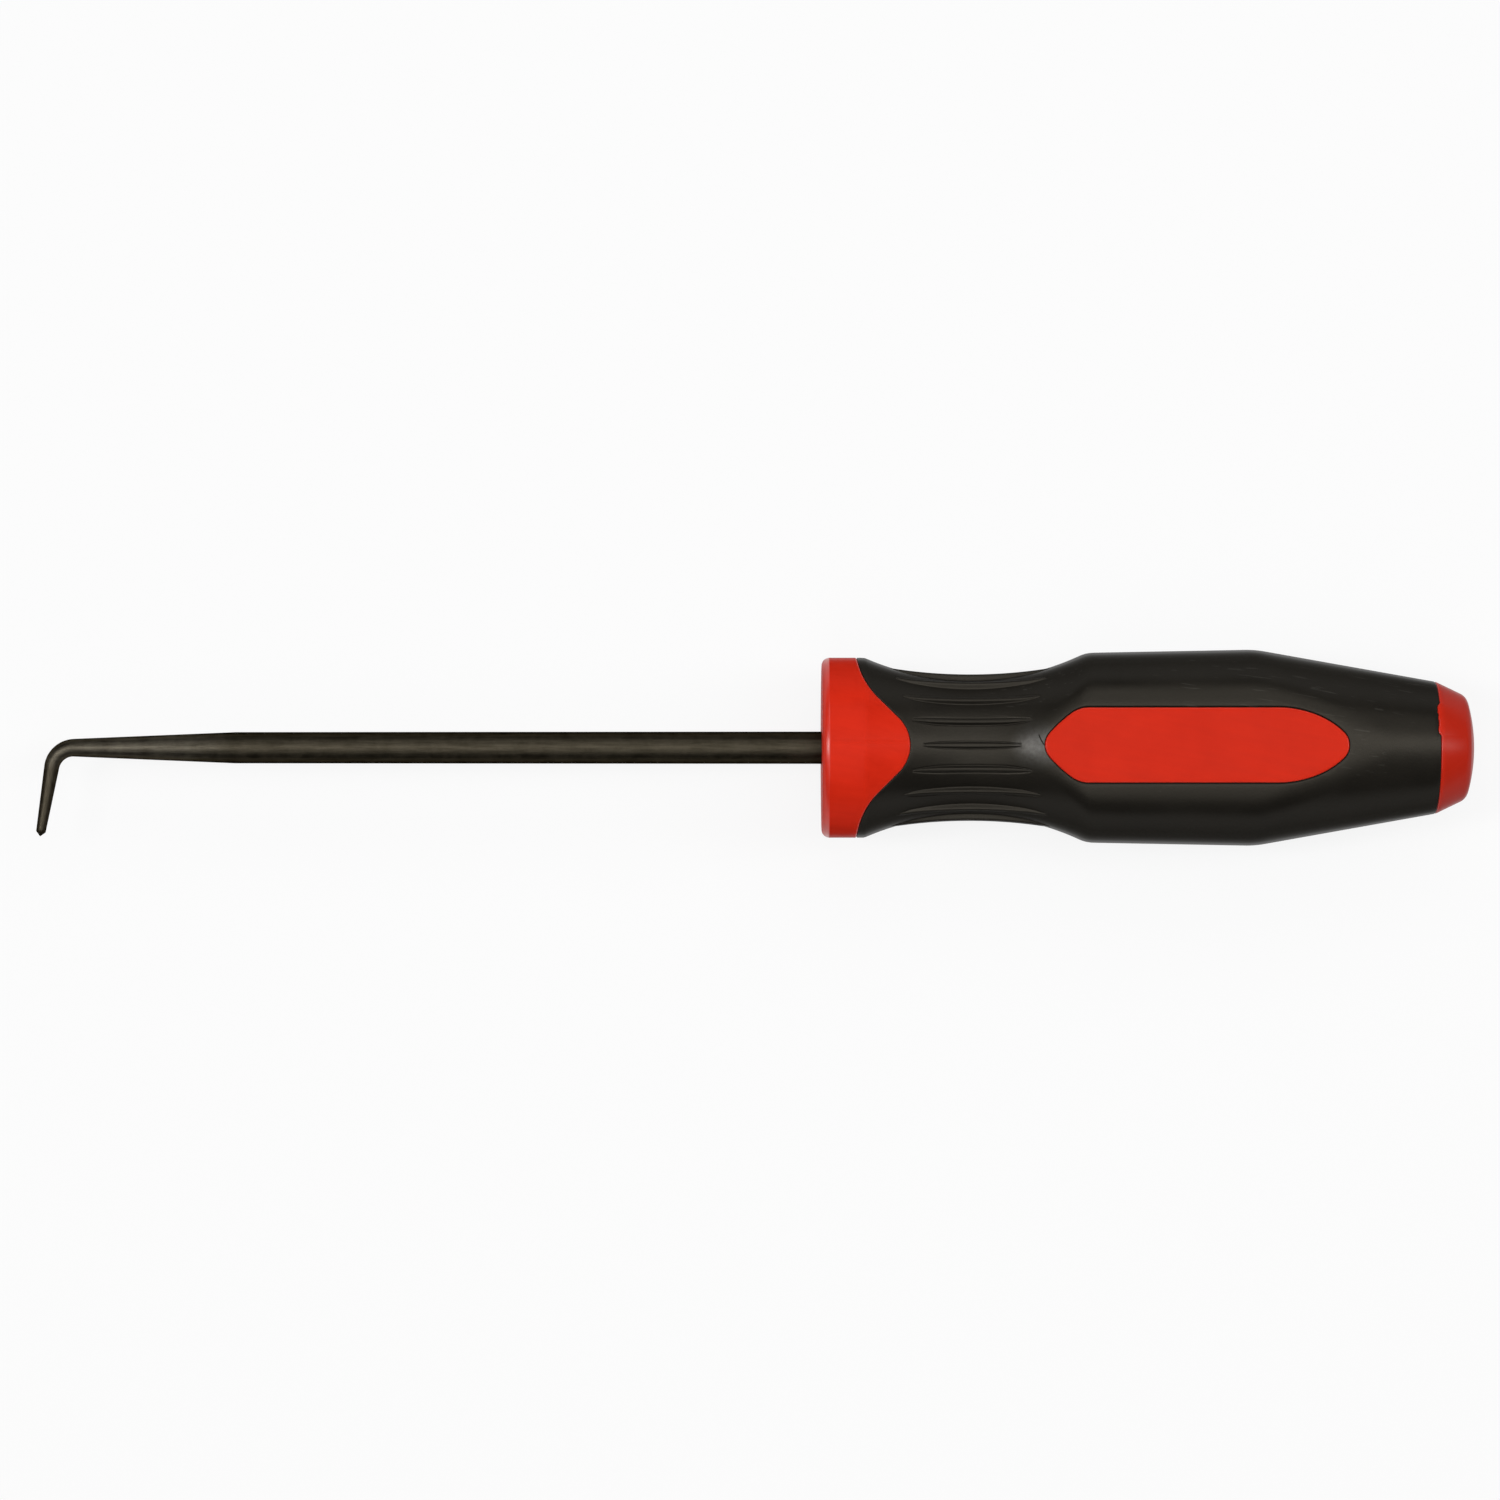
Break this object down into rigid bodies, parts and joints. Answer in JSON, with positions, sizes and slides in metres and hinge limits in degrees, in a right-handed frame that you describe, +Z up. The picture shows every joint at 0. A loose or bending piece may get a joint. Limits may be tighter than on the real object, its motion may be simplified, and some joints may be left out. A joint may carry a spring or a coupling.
{
  "type": "o-ring pick",
  "caption": "Hand pick for lifting seals: round dark steel shank, tapered to a bent pointed hook, in a red handle with a black ribbed soft grip.",
  "frame": {"origin": "on the table under the middle of the tool's length, below the handle's axis", "axes": "+X along the handle's axis towards the butt, -Y the way the hook points, +Z up out of a flattened face"},
  "size_m": [0.2394, 0.0326, 0.03],
  "materials": {
    "dark_steel": "black oxide, satin",
    "red_plastic": "moulded, satin gloss",
    "black_grip": "soft overmould, matt"
  },
  "bodies": {
    "root": {"pick_shank": "dark_steel", "handle_core": "red_plastic", "grip_sleeve": "black_grip"}
  },
  "joints": []
}
